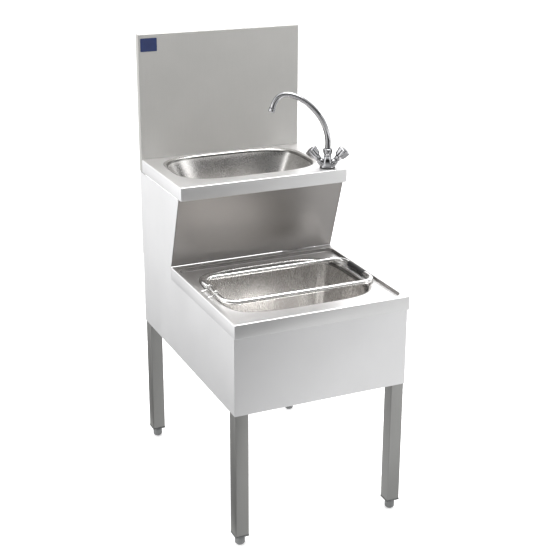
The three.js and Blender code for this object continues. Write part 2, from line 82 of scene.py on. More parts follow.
def spread(tree, fac, low, high, source=(0.3, 0.7), smooth=False):
    node = tree.nodes.new("ShaderNodeMapRange")
    node.interpolation_type = "SMOOTHSTEP" if smooth else "LINEAR"
    node.inputs["From Min"].default_value = source[0]
    node.inputs["From Max"].default_value = source[1]
    node.inputs["To Min"].default_value = low
    node.inputs["To Max"].default_value = high
    tree.links.new(fac, node.inputs["Value"])
    return node.outputs["Result"]


def tint(tree, fac, dark, light):
    ramp = tree.nodes.new("ShaderNodeValToRGB")
    ramp.color_ramp.elements[0].position = 0.3
    ramp.color_ramp.elements[1].position = 0.7
    ramp.color_ramp.elements[0].color = (*dark, 1)
    ramp.color_ramp.elements[1].color = (*light, 1)
    tree.links.new(fac, ramp.inputs["Fac"])
    return ramp.outputs["Color"]


def add(tree, a, b):
    node = tree.nodes.new("ShaderNodeMath")
    node.operation = "ADD"
    tree.links.new(a, node.inputs[0])
    tree.links.new(b, node.inputs[1])
    return node.outputs["Value"]


def bump(tree, bsdf, height, strength, distance):
    node = tree.nodes.new("ShaderNodeBump")
    node.inputs["Strength"].default_value = strength
    node.inputs["Distance"].default_value = distance
    tree.links.new(height, node.inputs["Height"])
    tree.links.new(node.outputs["Normal"], bsdf.inputs["Normal"])


def steel(name, shade, rough, grain, grain_depth, spot, slope=1):
    """Metal with cloudy roughness, and a fine grain along one axis that spreads reflections across it."""
    mat, tree, bsdf = nodes_of(name)
    bsdf.inputs["Metallic"].default_value = 1.0
    stretch = {None: (1, 1, 1), "x": (0.012, 1, 1), "z": (1, 1, 0.012)}[grain]
    lines = noise(tree, 900.0, 3.0, stretch)
    cloud = noise(tree, 9.0, 4.0)
    low, high = [c * 0.955 for c in shade], shade
    tree.links.new(tint(tree, noise(tree, 5.0, 4.0), low, high), bsdf.inputs["Base Color"])
    coarse = spread(tree, cloud, rough - spot * 0.5, rough + spot * 0.5)
    fine = spread(tree, lines, -spot * 0.6, spot * 0.6)
    tree.links.new(add(tree, coarse, fine), bsdf.inputs["Roughness"])
    bump(tree, bsdf, lines, grain_depth, 0.00002 * slope)
    return mat


def plastic(name, dark, light, rough, grain=1500.0, depth=0.3):
    """Moulded plastic, rubber or paint with a fine pebbled surface."""
    mat, tree, bsdf = nodes_of(name)
    fac = noise(tree, 40.0, 4.0)
    tree.links.new(tint(tree, fac, dark, light), bsdf.inputs["Base Color"])
    fine = noise(tree, grain, 2.0)
    tree.links.new(spread(tree, fine, rough - 0.07, rough + 0.07), bsdf.inputs["Roughness"])
    bump(tree, bsdf, fine, depth, 0.00004)
    return mat


SPLASH_STEEL = steel("satin_splash", (0.575, 0.57, 0.555), 0.74, "z", 0.25, 0.03)
SIDE_STEEL = steel("satin_side", (0.76, 0.76, 0.765), 0.47, "z", 0.3, 0.05)
# brushed along x; its very light shade is painted light, the worktops' bright look under the overhead light
LIT_DECK_STEEL = steel("brushed_deck_painted_light", (0.92, 0.91, 0.905), 0.36, "x", 1.0, 0.06, slope=5)
# painted shade: the bowls' rolled rims get a much darker steel than the sheet round them, to paint the dark
# band along their edges
RIM_SHADE_STEEL = steel("rim_painted_shade", (0.30, 0.295, 0.285), 0.20, None, 0.05, 0.03)
APRON_STEEL = steel("brushed_apron", (0.63, 0.63, 0.63), 0.40, "x", 0.6, 0.06, slope=3)
# a dark steel for the sloping panel; on the sink's recess walls it paints the dark shade lines along the
# raised border
PANEL_AND_RECESS_SHADE_STEEL = steel("panel_and_recess_shade", (0.325, 0.312, 0.302), 0.38, "x", 0.3, 0.04)
SKIRT_STEEL = steel("satin_skirt", (0.70, 0.70, 0.705), 0.40, "z", 0.3, 0.05)
BOWL_STEEL = steel("polished_bowl", (0.70, 0.685, 0.67), 0.27, "z", 0.012, 0.03)
# painted light: lighter than the other steels so that tubes, rods and strainers read bright against the
# bowls
LIT_TUBE_STEEL = steel("polished_tube_painted_light", (0.86, 0.855, 0.845), 0.20, None, 0.05, 0.03)
LEG_STEEL = steel("satin_leg", (0.31, 0.31, 0.302), 0.42, "z", 0.4, 0.06)
# painted shade: darker than chrome really is, to paint the black in the tap's reflections
DARKENED_CHROME = steel("chrome_painted_dark", (0.36, 0.36, 0.37), 0.045, None, 0.02, 0.015)
BRASS = steel("machined_brass", (0.66, 0.50, 0.24), 0.3, None, 0.3, 0.1)
FOOT_PLASTIC = plastic("grey_foot", (0.15, 0.155, 0.155), (0.20, 0.205, 0.205), 0.5)
INSERT_PLASTIC = plastic("grey_insert", (0.10, 0.105, 0.105), (0.13, 0.135, 0.135), 0.55)
RUBBER = plastic("black_rubber", (0.010, 0.010, 0.010), (0.022, 0.022, 0.022), 0.5, 900.0, 0.5)
PLATE = plastic("navy_plate", (0.002, 0.012, 0.075), (0.003, 0.016, 0.095), 0.5)

WORKTOP_LOOKS = (LIT_DECK_STEEL, BOWL_STEEL, APRON_STEEL, SIDE_STEEL, PANEL_AND_RECESS_SHADE_STEEL, RIM_SHADE_STEEL)
DECK, BOWL, FRONT_APRON, SIDE_APRON, RECESS_SHADE, RIM = range(6)     # places in WORKTOP_LOOKS


# ---------------------------------------------------------------- mesh helpers
def make(name, verts, faces, mat, body, nodes, sharp):
    """A piece from millimetre points in the sink's own frame."""
    mesh = bpy.data.meshes.new(name)
    mesh.from_pydata([(x * MM + CX, y * MM, z * MM) for x, y, z in verts], [], faces)
    mesh.validate()
    bm = bmesh.new()
    bm.from_mesh(mesh)
    bmesh.ops.remove_doubles(bm, verts=bm.verts, dist=1e-6)
    bmesh.ops.recalc_face_normals(bm, faces=bm.faces)
    bm.to_mesh(mesh)
    bm.free()
    return finish_piece(name, mesh, mat, body, nodes, sharp)


def finish_piece(name, mesh, mat, body, nodes, sharp):
    """Links a mesh as a piece that rides a body and stands in for the CAD nodes given."""
    mesh.polygons.foreach_set("use_smooth", [True] * len(mesh.polygons))
    mesh.set_sharp_from_angle(angle=math.radians(sharp))
    mesh.materials.append(mat)
    obj = bpy.data.objects.new(name, mesh)
    bpy.context.scene.collection.objects.link(obj)
    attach(obj, body)
    if nodes:
        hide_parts(*nodes)
    return obj


def loft(rings, cap_first=False, cap_last=False):
    """Faces between rings of the same count of points."""
    count = len(rings[0])
    verts = [p for ring in rings for p in ring]
    faces = []
    for r in range(len(rings) - 1):
        a, b = r * count, (r + 1) * count
        for i in range(count):
            j = (i + 1) % count
            faces.append((a + i, a + j, b + j, b + i))
    if cap_first:
        faces.append(tuple(range(count)))
    if cap_last:
        faces.append(tuple(range((len(rings) - 1) * count, len(rings) * count)))
    return verts, faces


def rounded_rect(x0, x1, y0, y1, radius, steps=6):
    """Points round a rectangle with round corners, the same count for any size."""
    radius = max(radius, 0.02)
    points = []
    for cx, cy, start in ((x1, y1, 0), (x0, y1, 90), (x0, y0, 180), (x1, y0, 270)):
        ox = cx - radius if cx == x1 else cx + radius
        oy = cy - radius if cy == y1 else cy + radius
        for i in range(steps + 1):
            a = math.radians(start + 90 * i / steps)
            points.append((ox + radius * math.cos(a), oy + radius * math.sin(a)))
    return points


def turned(profile, steps=64, lobes=None):
    """Rings of a profile of (radius, height) points about +Z."""
    rings = []
    for r, z in profile:
        ring = []
        for i in range(steps):
            a = 2 * math.pi * i / steps
            swell = 1 + lobes(z) * math.cos(4 * a) if lobes else 1
            ring.append((r * swell * math.cos(a), r * swell * math.sin(a), z))
        rings.append(ring)
    return rings


def arc(cx, cz, radius, start, end, steps):
    return [(cx + radius * math.cos(math.radians(start + (end - start) * i / steps)),
             cz + radius * math.sin(math.radians(start + (end - start) * i / steps)))
            for i in range(steps + 1)]


def placed(verts, matrix):
    return [tuple(matrix @ Vector(v)) for v in verts]


def outward(obj, direction, thickness):
    """Turns the largest face to look along direction, and thickens the sheet behind it."""
    face = max(obj.data.polygons, key=lambda p: p.area)
    if face.normal.dot(Vector(direction)) < 0:
        obj.data.flip_normals()
    mod = obj.modifiers.new("sheet", "SOLIDIFY")
    mod.thickness = thickness * MM
    mod.offset = -1.0


def bevel(obj, width, angle=35.0):
    mod = obj.modifiers.new("eased", "BEVEL")
    mod.width = width * MM
    mod.segments = 2
    mod.limit_method = "ANGLE"
    mod.angle_limit = math.radians(angle)
    mod.harden_normals = True


def block(name, xs, ys, zs, mat):
    """A plain bar of sheet between the given pairs of coordinates."""
    verts = [(x, y, z) for x in xs for y in ys for z in zs]
    faces = [(0, 1, 3, 2), (4, 6, 7, 5), (0, 4, 5, 1), (2, 3, 7, 6), (0, 2, 6, 4), (1, 5, 7, 3)]
    bevel(make(name, verts, faces, mat, "root", (), 30.0), 0.3)


# ---------------------------------------------------------------- worktops and bowls
def bowl_ring(bowl, inset, z, count):
    """One level of a bowl: the superellipse rounds off towards the waste."""
    half_x, half_y, power, waste = bowl["hx"], bowl["hy"], bowl["power"], bowl["waste"]
    r = half_y - inset
    share = (r - waste) / (half_y - waste)
    p = 2 + (power - 2) * min(1.0, max(0.0, share * 1.6))
    ring = []
    for i in range(count):
        t = 2 * math.pi * i / count
        c, s = math.cos(t), math.sin(t)
        x = (r + (half_x - half_y) * share) * math.copysign(abs(c) ** (2 / p), c)
        y = r * math.copysign(abs(s) ** (2 / p), s)
        ring.append((bowl["x"] + x, bowl["y"] + y, bowl["top"] + z))
    return ring


def bowl_levels(bowl):
    """(inset, height) from the rim, over the rolled edge, down the wall and to the waste."""
    rim, depth, draft, floor = bowl["rim"], bowl["depth"], bowl["draft"], bowl["floor"]
    levels = [(rim * math.sin(a), -rim + rim * math.cos(a))
              for a in (math.radians(90 * i / 10) for i in range(11))]
    for i in range(1, 8):
        levels.append((rim + draft * i / 8, -rim - (depth - floor - rim) * i / 8))
    cx, cz = rim + draft + floor, -depth + floor
    for i in range(0, 13):
        a = math.radians(90 * i / 12)
        levels.append((cx - floor * math.cos(a), cz - floor * math.sin(a)))
    end = bowl["hy"] - bowl["waste"]
    for i in range(1, 5):
        levels.append((cx + (end - cx) * i / 4, -depth - 6.0 * i / 4))
    return levels


def close_flat(bm, *loops):
    """Fills a flat face between closed loops of vertices, such as a worktop round its bowl."""
    edges = []
    for loop in loops:
        for i, v in enumerate(loop):
            w = loop[(i + 1) % len(loop)]
            edge = bm.edges.get((v, w)) or bm.edges.new((v, w))
            edges.append(edge)
    bmesh.ops.triangle_fill(bm, use_beauty=True, use_dissolve=False, edges=edges)


def pressed_top(name, bowl, rings_out, nodes, recess=None, count=176):
    """Worktop and bowl as the one continuous sheet that they are once welded and dressed.
    rings_out run from the foot of the apron to the flat top; recess rings from the flat top to the land."""
    bm = bmesh.new()

    def add_rings(rings):
        rows = [[bm.verts.new((x * MM + CX, y * MM, z * MM)) for x, y, z in ring] for ring in rings]
        for a, b in zip(rows, rows[1:]):
            for i in range(len(a)):
                j = (i + 1) % len(a)
                bm.faces.new((a[i], a[j], b[j], b[i]))
        return rows

    outer = add_rings(rings_out)
    apron_faces = set(bm.faces)
    made_bowl = add_rings([bowl_ring(bowl, inset, z, count) for inset, z in bowl_levels(bowl)])
    bowl_faces = {face for row in made_bowl[2:] for v in row for face in v.link_faces}
    # faces round rows 6 to 9 of the rolled edge take the darkened rim steel, a painted shade along the
    # bowl's edge
    shaded_rim_faces = {face for row in made_bowl[6:10] for v in row for face in v.link_faces}
    recess_faces = set()
    if recess:
        before = set(bm.faces)
        inner = add_rings(recess)
        recess_faces = set(bm.faces) - before
        close_flat(bm, outer[-1], inner[0])
        close_flat(bm, inner[-1], made_bowl[0])
    else:
        close_flat(bm, outer[-1], made_bowl[0])
    bmesh.ops.recalc_face_normals(bm, faces=bm.faces)
    for face in bm.faces:
        upright = abs(face.normal.z) < 0.6
        faces_side = abs(face.normal.x) > 0.7
        face.material_index = BOWL if face in bowl_faces else DECK
        # the rim faces carry the painted shade of the rolled edge
        if face in shaded_rim_faces:
            face.material_index = RIM
        # upright recess faces take the dark panel steel: painted shade along the recess walls
        if upright and face in recess_faces:
            face.material_index = RECESS_SHADE
        if upright and face in apron_faces:
            face.material_index = SIDE_APRON if faces_side else FRONT_APRON
    mesh = bpy.data.meshes.new(name)
    bm.to_mesh(mesh)
    bm.free()
    obj = finish_piece(name, mesh, WORKTOP_LOOKS[DECK], "root", nodes, 30.0)
    for mat in WORKTOP_LOOKS[1:]:
        mesh.materials.append(mat)
    outward(obj, (0, 0, 1), SHEET)


def apron_rings(y0, y1, top, fold, lip, corner=2.2):
    """Rings from the returned lip at the foot, up the apron and over the fold to the flat top."""
    foot = top - APRON
    rings = []

    def ring(inset, z, radius):
        rings.append([(x, y, z) for x, y in
                      rounded_rect(inset - CASE, CASE - inset, y0 + inset, y1 - inset, radius)])

    ring(lip, foot + 0.1, 0.3)
    ring(1.6, foot, max(corner - 1.2, 0.3))
    for i in range(4):
        a = math.radians(90 - 90 * i / 3)
        ring(1.2 - 1.2 * math.cos(a), foot + 1.2 - 1.2 * math.sin(a), corner)
    for i in range(7):
        a = math.radians(90 * i / 6)
        ring(fold - fold * math.cos(a), top - fold + fold * math.sin(a), corner)
    ring(fold + 1.5, top, corner)
    return rings


# x, y: centre; hx, hy: half sizes; power: squareness; rim: roll of the edge; draft: lean of the wall;
# floor: radius into the floor; waste: radius of its hole
BASIN = dict(x=-1, y=196, hx=218, hy=136, power=3.5, rim=9, depth=150, draft=26, floor=42, waste=23,
             top=BASIN_TOP)
SINK = dict(x=0, y=-113, hx=218.5, hy=175.5, power=4.2, rim=12, depth=186, draft=10, floor=38, waste=23,
            top=LAND)


def recess_rings():
    """Rings over the sink worktop's raised border and down its wall to the land."""
    rings = []

    def ring(inset, z):
        rings.append([(x, y, z) for x, y in rounded_rect(
            -238 + inset, 238 - inset, -343 + inset, 82 - inset, 24 - inset, 10)])

    for i in range(5):
        a = math.radians(90 * i / 4)
        ring(-1.2 + 1.6 * math.sin(a), SINK_TOP - 1.6 + 1.6 * math.cos(a))
    for i in range(5):
        a = math.radians(90 * i / 4)
        ring(3.4 - 2.4 * math.cos(a), LAND + 2.4 - 2.4 * math.sin(a))
    return rings


pressed_top("basin_top", BASIN, apron_rings(10, 339.7, BASIN_TOP, 2.0, 12), ("basin_worktop", "basin_bowl"))
pressed_top("sink_top", SINK, apron_rings(-BACK, 105.7, SINK_TOP, 2.2, 6), ("sink_worktop", "sink_bowl"),
            recess_rings())


# ---------------------------------------------------------------- folded panels
def tray(name, corner, along, up, width, height, depth, mat, nodes, fold=2.0, lip=0.0):
    """A panel with its four edges folded back. corner is the face's low corner, along and up its edges."""
    along, up = Vector(along).normalized(), Vector(up).normalized()
    out = along.cross(up)
    rings = []

    def ring(inset, back, radius):
        rings.append([tuple(Vector(corner) + along * u + up * v - out * back)
                      for u, v in rounded_rect(inset, width - inset, inset, height - inset, radius, 4)])

    if lip:
        ring(lip, depth, 0.3)
    ring(0.0, depth, 0.8)
    for i in range(6):
        a = math.radians(90 * i / 5)
        ring(fold - fold * math.cos(a), fold - fold * math.sin(a), 0.8)
    ring(fold + 1.5, 0.0, 0.8)
    verts, faces = loft(rings, cap_last=True)
    return make(name, verts, faces, mat, "root", nodes, 30.0)


sheet = tray("splashback_sheet", (-CASE, 340, 857.3), (1, 0, 0), (0, 0, 1), 2 * CASE, 398.7, 20,
             SPLASH_STEEL, ("splashback",), 2.0, 9.0)
outward(sheet, (0, -1, 0), PANEL_SHEET)

slope = Vector((0, 32.1 - 105.7, 857 - 640.6))
sheet = tray("sloping_front", (-248.2, 105.7, 640.4), (1, 0, 0), tuple(slope), 496.4, slope.length - 0.3, 8,
             PANEL_AND_RECESS_SHADE_STEEL, ("sloping_panel",), 1.6)
outward(sheet, (0, -1, 0), PANEL_SHEET)


def sheet_outline(name, outline, x, mat, nodes):
    """A flat cut sheet in the YZ plane with its outer face at x, its edges eased."""
    side = math.copysign(1, x)
    verts = [(x, y, z) for y, z in outline] + [(x - side * SHEET, y, z) for y, z in outline]
    count = len(outline)
    faces = [tuple(range(count)), tuple(range(2 * count - 1, count - 1, -1))]
    for i in range(count):
        j = (i + 1) % count
        faces.append((i, count + i, count + j, j))
    bevel(make(name, verts, faces, mat, "root", nodes, 30.0), 0.35)


SIDE = [(106, 602), (BACK, 602), (BACK, 855.4), (32.4, 855.4), (106, 639.6)]
for label, sign in (("left", -1), ("right", 1)):
    sheet_outline(f"side_sheet_{label}", SIDE, sign * 249.9, SIDE_STEEL, (f"side_panel_{label}",))
    # the rear edge is folded in against the wall
    block(f"side_flange_{label}", (sign * 234, sign * 249), (BACK - SHEET, BACK), (602, 855.4), SIDE_STEEL)

sheet = tray("skirt_front_sheet", (-248, -353, SKIRT_LOW), (1, 0, 0), (0, 0, 1), 496, SKIRT_HEIGHT, 1.3,
             SKIRT_STEEL, ("skirt_front",), 0.5)
outward(sheet, (0, -1, 0), PANEL_SHEET)
for label, sign, start_y in (("left", -1, BACK), ("right", 1, -351.6)):
    sheet = tray(f"skirt_{label}_sheet", (sign * 248, start_y, SKIRT_LOW), (0, sign, 0), (0, 0, 1), 711.6,
                 SKIRT_HEIGHT, 14, SIDE_STEEL, (f"skirt_{label}",), 0.5)
    outward(sheet, (sign, 0, 0), PANEL_SHEET)
# the front skirt's hem, folded back along its foot
block("skirt_front_hem", (-180, 180), (-351.9, -339), (SKIRT_LOW, SKIRT_LOW + SHEET), SKIRT_STEEL)

# name plate: a thin blank plate with round corners
low, high = 1207.0, 1245.0
rings = []
for inset, y, radius in ((0, 339.7, 2.5), (0, 339.35, 2.5), (0.25, 339.2, 2.3)):
    rings.append([(x, y, z) for x, z in rounded_rect(
        -243 + inset, -194 - inset, low + inset, high - inset, radius)])
verts, faces = loft(rings, cap_first=True, cap_last=True)
make("blank_plate", verts, faces, PLATE, "root", ("name_plate",), 25.0)


# ---------------------------------------------------------------- tubes
def sweep(name, points, radius, mat, body, nodes, sides=32):
    """A round bar along points, with its ends closed and eased."""
    points = [Vector(p) for p in points]
    tangents = []
    for i, p in enumerate(points):
        a = points[max(i - 1, 0)]
        b = points[min(i + 1, len(points) - 1)]
        tangents.append((b - a).normalized())
    normal = tangents[0].orthogonal().normalized()
    rings = []
    for i, (p, t) in enumerate(zip(points, tangents)):
        normal = (normal - t * normal.dot(t)).normalized()
        side = t.cross(normal)

        def ring_at(centre, r):
            return [tuple(centre + (normal * math.cos(a) + side * math.sin(a)) * r)
                    for a in (2 * math.pi * k / sides for k in range(sides))]
        if i == 0:
            rings.append(ring_at(p, radius - 0.9))
            rings.append(ring_at(p + t * 0.25, radius - 0.25))
            rings.append(ring_at(p + t * 0.9, radius))
        elif i == len(points) - 1:
            rings.append(ring_at(p - t * 0.9, radius))
            rings.append(ring_at(p - t * 0.25, radius - 0.25))
            rings.append(ring_at(p, radius - 0.9))
        else:
            rings.append(ring_at(p, radius))
    verts, faces = loft(rings, cap_first=True, cap_last=True)
    make(name, verts, faces, mat, body, nodes, 40.0)


GRILLE_Z = 638.2
HINGE_X, REST_X, BEND = -209.0, 226.8, 38.0


def bow_path(bar_y, leg_left, leg_right):
    """From the hinge rod along one long bar to the resting rod, with a round bend at each end."""
    inward = math.copysign(1, leg_left - bar_y)
    left = [(HINGE_X, leg_left, GRILLE_Z)]
    right = []
    steps = 14
    for i in range(steps + 1):
        a = math.radians(90 * i / steps)
        far, near = BEND - BEND * math.cos(a), BEND - BEND * math.sin(a)
        left.append((HINGE_X + far, bar_y + inward * near, GRILLE_Z))
        right.append((REST_X - near, bar_y + inward * far, GRILLE_Z))
    return left + right + [(REST_X, leg_right, GRILLE_Z)]


sweep("rear_bow_tube", bow_path(-14, -76, -60), 7.0, LIT_TUBE_STEEL, "grille", ("grille_rear_bow",))
sweep("front_bow_tube", bow_path(-214, -143, -150), 7.0, LIT_TUBE_STEEL, "grille", ("grille_front_bow",))
sweep("hinge_rod_bar", [(HINGE_X, y, GRILLE_Z) for y in (-142.9, -110, -76.1)], 3.5, LIT_TUBE_STEEL, "grille",
      ("grille_hinge_rod",), 24)
sweep("rest_rod_bar", [(REST_X, y, GRILLE_Z) for y in (-149.9, -110, -60.1)], 3.5, LIT_TUBE_STEEL, "grille",
      ("grille_rest_rod",), 24)

# Rubber sleeve on the resting rod
outer, inner, y0, y1 = 8.2, 3.8, -149.2, -60.8
profile = [(inner, y0), (inner, y1), (inner + 0.8, y1 + 0.2)] + arc(outer - 1.6, y1 - 1.4, 1.6, 90, 0, 5)
profile += arc(outer - 1.6, y0 + 1.4, 1.6, 0, -90, 5) + [(inner + 0.8, y0 - 0.2), (inner, y0)]
to_y = Matrix.Translation((REST_X, 0, GRILLE_Z)) @ Matrix.Rotation(math.radians(-90), 4, "X")
verts, faces = loft(turned(profile, 48))
make("rest_sleeve_rubber", placed(verts, to_y), faces, RUBBER, "grille", ("grille_rest_sleeve",), 40.0)

# Hinge eyes: bent from round wire, each with a foot welded down to the land
for label, y in (("rear", -85.0), ("front", -134.0)):
    wire = []
    for i in range(29):
        a = math.radians(205 - 330 * i / 28)
        wire.append((HINGE_X + 7.6 * math.cos(a), y + (i - 14) * 0.06, GRILLE_Z + 7.6 * math.sin(a)))
    start = Vector(wire[0])
    tail = [Vector((HINGE_X - 24.0, y - 0.9, 632.1)), Vector((HINGE_X - 17.0, y - 0.9, 632.2)),
            Vector((HINGE_X - 12.5, y - 0.9, 632.9)), Vector((HINGE_X - 9.6, y - 0.88, 634.0))]
    wire[0:1] = [tuple(p) for p in tail] + [tuple(start + Vector((-0.1, 0, 0.4)))]
    sweep(f"eye_{label}", wire, 2.0, LIT_TUBE_STEEL, "root", (f"hinge_eye_{label}",), 16)


# ---------------------------------------------------------------- tap
at_tap = Matrix.Translation(TAP)


def tap_piece(name, profile, matrix, nodes, body="root", steps=64, lobes=None):
    """A turned chrome piece, its profile in (radius, height) points."""
    verts, faces = loft(turned(profile, steps, lobes))
    make(name, placed(verts, matrix), faces, DARKENED_CHROME, body, nodes, 35.0)


valve = {side: at_tap @ Matrix.Rotation(TAP_AZIMUTH, 4, "Z") @ Matrix.Translation((side * 4.0, 0, 0))
         @ Matrix.Rotation(side * VALVE_TILT, 4, "Y") for side in (-1, 1)}

column = [(0, 2.6), (20.4, 2.6), (21, 3.2), (21, 5.6), (20.2, 7.0), (18.6, 9.2), (16.4, 12.0), (14.6, 15.0),
          (13.2, 18.0), (12.0, 22.0), (11.2, 26.0), (10.4, 30.0), (9.9, 34.0), (9.8, 37.0), (10.6, 39.5),
          (12.0, 41.2), (12.6, 42.4), (12.4, 43.6), (0, 43.7)]
tap_piece("tap_column", column, at_tap, ("tap_body",))
for side, label in ((-1, "left"), (1, "right")):
    arm = [(0, 11.5), (10.6, 11.8), (10.6, 14), (10.4, 18), (10.7, 21.5), (10.4, 23.4), (9.6, 24.1),
           (0, 24.2)]
    tap_piece(f"tap_arm_{label}", arm, valve[side], ())
    hub = [(0, 24.3), (10.0, 24.4), (10.3, 25.0), (10.3, 26.6), (9.6, 27.4), (8.7, 28.2), (8.5, 29.5),
           (8.5, 33.2), (7.9, 33.6), (0, 33.6)]
    tap_piece(f"bonnet_{label}", hub, valve[side], (f"tap_{label}_bonnet",))
    head = [(0, 34.0), (8.2, 34.0), (9.0, 34.6), (9.3, 37.0), (9.6, 40.0), (10.8, 42.4), (12.4, 44.4),
            (13.2, 46.4), (13.9, 50.0), (14.7, 55.0), (15.5, 60.0), (16.1, 64.0), (16.3, 66.2), (15.9, 67.7),
            (15.0, 68.5), (13.6, 68.8), (11.6, 68.6), (0, 68.6)]
    tap_piece(f"handle_{label}", head, valve[side], (f"tap_{label}_handle",), f"{label}_handle", 96,
              lambda z: 0.125 * max(0.0, min(1.0, (z - 40) / 6)))
    cap = [(0, 68.9), (10.2, 68.9), (10.7, 69.3), (10.6, 70.0), (9.6, 70.8), (7.0, 71.4), (3.5, 71.7),
           (0, 71.8)]
    tap_piece(f"index_{label}", cap, valve[side], (f"tap_{label}_index_cap",), f"{label}_handle", 48)

nut = [(0, 44.0), (11.8, 44.0), (12.9, 44.6), (13.4, 46.0), (13.4, 53.0), (13.0, 54.4), (11.9, 55.4),
       (10.2, 56.0), (0, 56.0)]
tap_piece("spout_collar", nut, at_tap, ("tap_spout_nut",))

KNOTS = [(0, 56.3), (0, 80), (5, 107), (20, 140), (50, 176), (87, 200), (117, 207), (139, 200), (152, 183),
         (157, 168)]


def through(knots, per=9):
    """A smooth curve through the knots: a centripetal Catmull-Rom spline."""
    out = []
    pts = [Vector(k) for k in knots]
    for i in range(len(pts) - 1):
        p0 = pts[i - 1] if i else pts[0] * 2 - pts[1]
        p1, p2 = pts[i], pts[i + 1]
        p3 = pts[i + 2] if i + 2 < len(pts) else p2 * 2 - p1
        t0 = 0.0
        t1 = t0 + (p1 - p0).length ** 0.5
        t2 = t1 + (p2 - p1).length ** 0.5
        t3 = t2 + (p3 - p2).length ** 0.5
        for k in range(per):
            t = t1 + (t2 - t1) * k / per
            a1 = p0 * ((t1 - t) / (t1 - t0)) + p1 * ((t - t0) / (t1 - t0))
            a2 = p1 * ((t2 - t) / (t2 - t1)) + p2 * ((t - t1) / (t2 - t1))
            a3 = p2 * ((t3 - t) / (t3 - t2)) + p3 * ((t - t2) / (t3 - t2))
            b1 = a1 * ((t2 - t) / (t2 - t0)) + a2 * ((t - t0) / (t2 - t0))
            b2 = a2 * ((t3 - t) / (t3 - t1)) + a3 * ((t - t1) / (t3 - t1))
            out.append(b1 * ((t2 - t) / (t2 - t1)) + b2 * ((t - t1) / (t2 - t1)))
    return out + [pts[-1]]


at_spout = at_tap @ Matrix.Rotation(SPOUT_AZIMUTH, 4, "Z")
line = [at_spout @ Vector((p.x, 0, p.y)) for p in through(KNOTS)]
sweep("spout_tube", line, 8.0, DARKENED_CHROME, "spout", ("tap_spout",), 40)
tip, heading = line[-1], (line[-1] - line[-2]).normalized()
at_tip = Matrix.Translation(tip) @ heading.to_track_quat("Z", "Y").to_matrix().to_4x4()
nozzle = [(0, 0.3), (8.8, 0.3), (9.3, 0.9), (9.6, 2.0), (9.6, 4.2), (9.2, 4.6), (9.2, 5.2), (9.6, 5.6),
          (9.6, 10.6), (9.1, 12.0), (8.4, 12.5), (7.2, 12.5), (6.9, 12.0), (6.9, 10.5), (0, 10.5)]
tap_piece("aerator_shell", nozzle, at_tip, ("tap_aerator",), "spout")


# ---------------------------------------------------------------- legs and feet
LEG_HALF, LEG_LOW, LEG_TOP, LEG_WALL = 19, 33.1, 600, 1.5


def leg_tube(name, cx, cy, nodes):
    """A square tube with round corners and its lower edge eased."""
    rings = []
    ease = 0.4
    for inset, z in ((LEG_WALL, LEG_LOW), (ease, LEG_LOW), (0, LEG_LOW + ease), (0, LEG_TOP)):
        half = LEG_HALF - inset
        rings.append([(x, y, z) for x, y in rounded_rect(
            cx - half, cx + half, cy - half, cy + half, 3.0 - inset * 0.8)])
    verts, faces = loft(rings)
    make(name, verts, faces, LEG_STEEL, "root", nodes, 40.0)


PLACES = {"front_left": (-227.5, -332.5), "front_right": (227.5, -332.5),
          "rear_left": (-227.5, 339.5), "rear_right": (227.5, 339.5)}
for place, (x, y) in PLACES.items():
    leg_tube(f"leg_tube_{place}", x, y, (f"leg_{place}",))
    # plastic end plug: a flange a little larger than the tube
    rings = []
    for inset, z, radius in ((12, 28.8, 3), (0.9, 28.8, 3.2), (0.2, 29.2, 3.6), (0, 29.9, 3.8),
                             (0, 31.8, 3.8), (0.3, 32.6, 3.6), (1.4, 32.9, 3.0), (3.2, 32.9, 2.5),
                             (3.2, 56, 2.5)):
        rings.append([(px, py, z) for px, py in rounded_rect(
            x - 20 + inset, x + 20 - inset, y - 20 + inset, y + 20 - inset, radius)])
    verts, faces = loft(rings)
    make(f"end_plug_{place}", verts, faces, INSERT_PLASTIC, "root", (f"foot_insert_{place}",), 40.0)
    # foot: a turned pad and collar under its stud
    foot = [(0, 0.0), (8.4, 0.0), (9.2, 0.3), (12.9, 4.2), (13.5, 5.4), (13.6, 7.0), (13.6, 20.5),
            (13.3, 22.2), (12.4, 23.8), (10.9, 25.0), (10.3, 25.6), (10.3, 28.0), (9.9, 28.4), (4.9, 28.4),
            (4.9, 80.0), (0, 80.2)]
    verts, faces = loft(turned(foot, 56))
    make(f"foot_pad_{place}", placed(verts, Matrix.Translation((x, y, 0))), faces, FOOT_PLASTIC,
         f"foot_{place}", (f"foot_{place}",), 35.0)


# ---------------------------------------------------------------- CAD pieces that stay
def dress(node, mat, ease):
    """A CAD piece as it is, with its facets welded and its edges eased."""
    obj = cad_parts[node]
    obj.data.materials.clear()
    obj.data.materials.append(mat)
    weld = obj.modifiers.new("weld", "WELD")
    weld.merge_threshold = 0.00001
    bevel(obj, ease, 40.0)


for node in ("basin_waste_strainer", "sink_waste_strainer", "basin_waste_tail", "sink_waste_tail"):
    dress(node, LIT_TUBE_STEEL, 0.25)
for node in ("basin_waste_nut", "sink_waste_nut", "tap_back_nut"):
    dress(node, BRASS, 0.6)
for node in ("tap_left_inlet_stub", "tap_right_inlet_stub"):
    dress(node, BRASS, 0.4)
for node in ("basin_waste_seal", "sink_waste_seal", "tap_base_seal"):
    dress(node, RUBBER, 0.4)
dress("tap_clamp_washer", LEG_STEEL, 0.3)
dress("rear_rail", LEG_STEEL, 0.3)


# ---------------------------------------------------------------- studio, in metres
FLOOR_GLOW = 0.42
ROOM_FRONT, ROOM_BACK, CEILING, HORIZON = 0.04, 1.1, 0.9, 1.0


